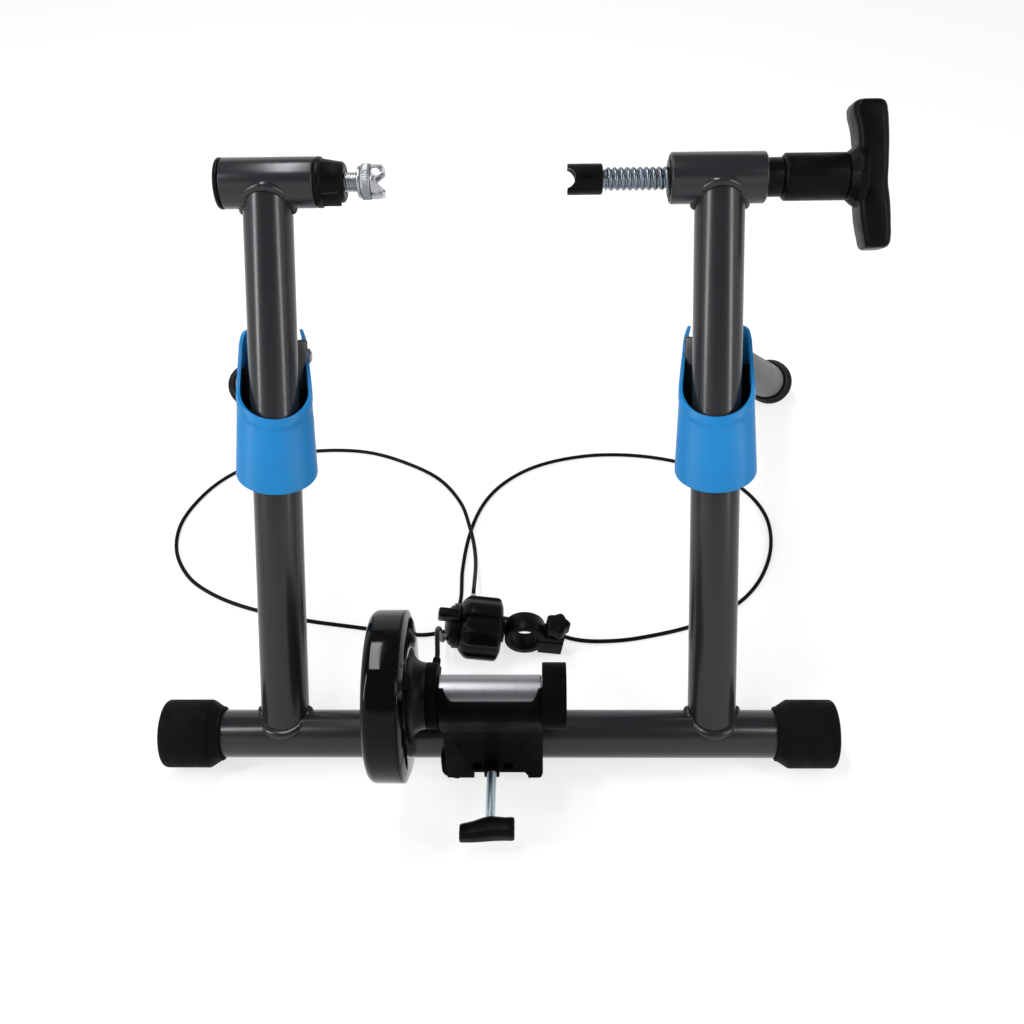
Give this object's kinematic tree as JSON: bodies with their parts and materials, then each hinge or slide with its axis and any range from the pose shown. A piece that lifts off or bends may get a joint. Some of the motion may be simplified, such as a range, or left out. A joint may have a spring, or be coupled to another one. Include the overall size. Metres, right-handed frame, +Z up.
{
  "type": "bicycle trainer",
  "caption": "Folding indoor bike trainer: tube frame with fold-out rear legs, axle clamp, magnetic roller unit on the base tube and a remote shifter on a cable.",
  "frame": {"origin": "on the floor, under the middle of the trainer's box without its cable", "axes": "+Z up, +X towards the clamp handle, +Y towards the rear legs; the wheel stands in the XZ middle on the +Y side"},
  "size_m": [0.6631, 0.604, 0.4432],
  "materials": {
    "frame_paint": "satin gloss",
    "blue_plastic": "smooth",
    "rubber": "matt",
    "black_plastic": "smooth",
    "gloss_black": "glossy",
    "zinc": "zinc plated",
    "steel": "grey",
    "roller_silver": "brushed"
  },
  "bodies": {
    "frame": {"base_tube": "frame_paint", "left_base_foot": "rubber", "right_base_foot": "rubber", "left_upright": "frame_paint", "right_upright": "frame_paint", "left_head_tube": "frame_paint", "right_head_tube": "frame_paint", "left_head_cap": "black_plastic", "left_axle_collar": "black_plastic", "clamp_nut": "steel", "right_head_bush": "black_plastic", "left_hinge_bracket": "frame_paint", "right_hinge_bracket": "frame_paint", "left_hinge_shroud": "blue_plastic", "right_hinge_shroud": "blue_plastic", "left_hinge_bolt": "zinc", "right_hinge_bolt": "zinc", "left_hinge_nut": "zinc", "right_hinge_nut": "zinc", "shifter_body": "black_plastic", "shifter_end_cap": "black_plastic", "shifter_band": "black_plastic", "cable_ferrule": "zinc", "remote_cable": "black_plastic"},
    "left_leg": {"left_leg_tube": "frame_paint", "left_leg_foot": "rubber"},
    "right_leg": {"right_leg_tube": "frame_paint", "right_leg_foot": "rubber"},
    "left_cup": {"left_axle_cup": "zinc"},
    "left_adjuster": {"left_adjust_screw": "zinc", "left_lock_nut": "steel", "left_lock_washer": "zinc"},
    "right_cup": {"right_axle_cup": "black_plastic"},
    "clamp_handle_set": {"clamp_screw": "zinc", "handle_sleeve": "black_plastic", "clamp_handle": "black_plastic"},
    "unit": {"roller_cradle": "black_plastic", "clamp_cap": "black_plastic", "cap_screw_front_left": "zinc", "cap_screw_front_right": "zinc", "cap_screw_rear_left": "zinc", "cap_screw_rear_right": "zinc", "neck_housing": "black_plastic", "left_bearing": "steel", "right_bearing": "steel", "magnet_housing": "gloss_black", "housing_cover": "black_plastic", "cable_gland": "black_plastic"},
    "roller_set": {"roller": "roller_silver", "roller_axle": "steel", "rotor_disc": "roller_silver"},
    "magnets": {"magnet_carrier": "black_plastic"},
    "lock_pad_body": {"lock_pad": "black_plastic"},
    "lock_bolt_set": {"lock_bolt": "zinc", "lock_knob": "black_plastic"},
    "lever": {"shifter_lever": "black_plastic"},
    "knob_washer_body": {"knob_washer": "zinc"},
    "shifter_knob_set": {"shifter_clamp_bolt": "zinc", "shifter_clamp_knob": "black_plastic"}
  },
  "joints": [
    {"name": "left_leg_fold", "type": "hinge", "parent": "frame", "child": "left_leg", "pos_m": [-0.18, 0.02516, 0.25378], "axis": [-0.9455, -0.26, 0.1959], "range_deg": [0, 84], "deforming": ["remote_cable"]},
    {"name": "right_leg_fold", "type": "hinge", "parent": "frame", "child": "right_leg", "pos_m": [0.18, 0.02516, 0.25378], "axis": [-0.9455, 0.26, -0.1959], "range_deg": [0, 84], "deforming": ["remote_cable"]},
    {"name": "left_cup_travel", "type": "slide", "parent": "frame", "child": "left_cup", "axis": [1, 0, 0], "range_m": [-0.01, 0.012]},
    {"name": "left_adjuster_turn", "type": "hinge", "parent": "left_cup", "child": "left_adjuster", "pos_m": [-0.18, 0.07088, 0.39088], "axis": [1, 0, 0], "range_deg": [-1802, 2162]},
    {"name": "clamp_travel", "type": "slide", "parent": "frame", "child": "right_cup", "axis": [1, 0, 0], "range_m": [0, 0.048]},
    {"name": "clamp_turn", "type": "hinge", "parent": "right_cup", "child": "clamp_handle_set", "pos_m": [0.18, 0.07088, 0.39088], "axis": [1, 0, 0], "range_deg": [0, 3458]},
    {"name": "unit_tilt", "type": "hinge", "parent": "frame", "child": "unit", "pos_m": [0, -0.20295, 0.0275], "axis": [-1, 0, 0], "range_deg": [0, 50], "deforming": ["remote_cable"]},
    {"name": "roller_spin", "type": "hinge", "parent": "unit", "child": "roller_set", "pos_m": [0, -0.23432, 0.12403], "axis": [1, 0, 0], "continuous": true},
    {"name": "magnet_shift", "type": "hinge", "parent": "unit", "child": "magnets", "pos_m": [0, -0.23432, 0.12403], "axis": [1, 0, 0], "range_deg": [0, 23]},
    {"name": "lock_travel", "type": "slide", "parent": "unit", "child": "lock_pad_body", "axis": [0, -1, 0], "range_m": [0, 0.006]},
    {"name": "lock_turn", "type": "hinge", "parent": "lock_pad_body", "child": "lock_bolt_set", "pos_m": [-0.004, -0.20295, 0.0275], "axis": [0, -1, 0], "range_deg": [0, 1730]},
    {"name": "lever_turn", "type": "hinge", "parent": "frame", "child": "lever", "pos_m": [0.022, -0.09095, 0.02512], "axis": [0.9877, 0, -0.1564], "range_deg": [-90, 0], "deforming": ["remote_cable"]},
    {"name": "band_knob_travel", "type": "slide", "parent": "frame", "child": "knob_washer_body", "axis": [0.1564, 0, 0.9877], "range_m": [0, 0.005]},
    {"name": "band_knob_turn", "type": "hinge", "parent": "knob_washer_body", "child": "shifter_knob_set", "pos_m": [0.04966, -0.09095, 0.02074], "axis": [0.1564, 0, 0.9877], "range_deg": [0, 2252]}
  ],
  "couplings": [
    {"joint": "left_adjuster_turn", "follows": "left_cup_travel", "rad_per_m": 3141.6},
    {"joint": "clamp_turn", "follows": "clamp_travel", "rad_per_m": 1256.6},
    {"joint": "lock_turn", "follows": "lock_travel", "rad_per_m": 5026.5},
    {"joint": "magnet_shift", "follows": "lever_turn", "ratio": -0.25},
    {"joint": "band_knob_turn", "follows": "band_knob_travel", "rad_per_m": 7854}
  ]
}
